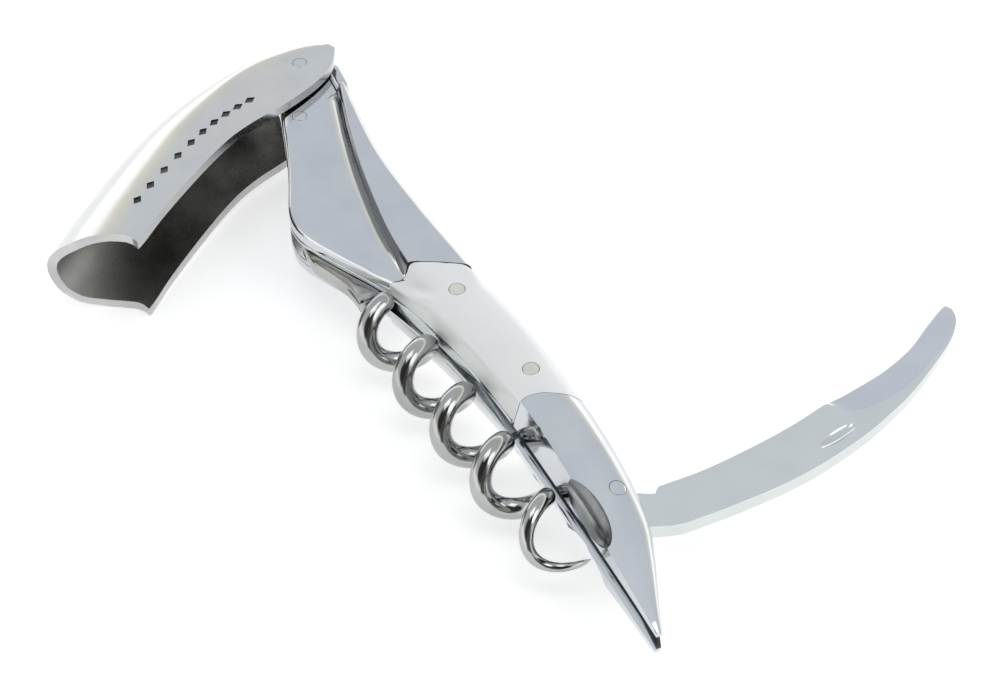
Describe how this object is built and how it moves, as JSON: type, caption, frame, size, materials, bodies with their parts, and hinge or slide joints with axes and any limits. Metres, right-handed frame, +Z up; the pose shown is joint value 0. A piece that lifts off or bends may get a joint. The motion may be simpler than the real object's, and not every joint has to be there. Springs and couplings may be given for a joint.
{
  "type": "waiters corkscrew",
  "caption": "Folding waiter's corkscrew with a channel-shaped bottle lever, a wire worm and a curved foil blade, each hinged on a slim bar handle with white scales.",
  "frame": {"origin": "the corkscrew lies on its side; the middle of its box in X and Y, on the plane it lies on", "axes": "+X runs from the lever hinge along the handle to its nose, +Y is the handle's back, where the blade folds in, and +Z is up, along all three hinge pins"},
  "size_m": [0.12, 0.1108, 0.0146],
  "materials": {
    "polished_steel": "mirror-polished stainless steel",
    "sheet_steel": "bright bent stainless sheet, dull inside",
    "worm_steel": "polished spring steel wire",
    "blade_steel": "satin-polished stainless steel with a ground edge",
    "nickel_silver": "nickel silver rod, ground flush",
    "white_resin": "polished off-white resin"
  },
  "bodies": {
    "handle": {"top_liner": "polished_steel", "bottom_liner": "polished_steel", "top_lever_bolster": "polished_steel", "bottom_lever_bolster": "polished_steel", "top_scale": "white_resin", "bottom_scale": "white_resin", "top_nose_bolster": "polished_steel", "bottom_nose_bolster": "polished_steel", "centre_spring": "polished_steel", "lever_spring": "polished_steel", "spring_head": "polished_steel", "rear_scale_pin": "nickel_silver", "front_scale_pin": "nickel_silver", "bolster_pin": "polished_steel", "spring_pin": "polished_steel", "worm_pivot_pin": "polished_steel", "blade_pivot_pin": "polished_steel"},
    "lever": {"lever_shell": "sheet_steel", "lever_cam": "polished_steel", "lever_pivot_pin": "polished_steel"},
    "worm": {"worm": "worm_steel"},
    "blade": {"blade": "blade_steel"}
  },
  "joints": [
    {"name": "lever_hinge", "type": "hinge", "parent": "handle", "child": "lever", "pos_m": [-0.0553, -0.00825, 0.0073], "axis": [0, 0, 1], "range_deg": [-104, 2]},
    {"name": "worm_hinge", "type": "hinge", "parent": "handle", "child": "worm", "pos_m": [-0.0243, -0.01725, 0.0073], "axis": [0, 0, 1], "range_deg": [-96, 0]},
    {"name": "blade_hinge", "type": "hinge", "parent": "handle", "child": "blade", "pos_m": [0.04, -0.00315, 0.0073], "axis": [0, 0, 1], "range_deg": [-90, 84]}
  ]
}
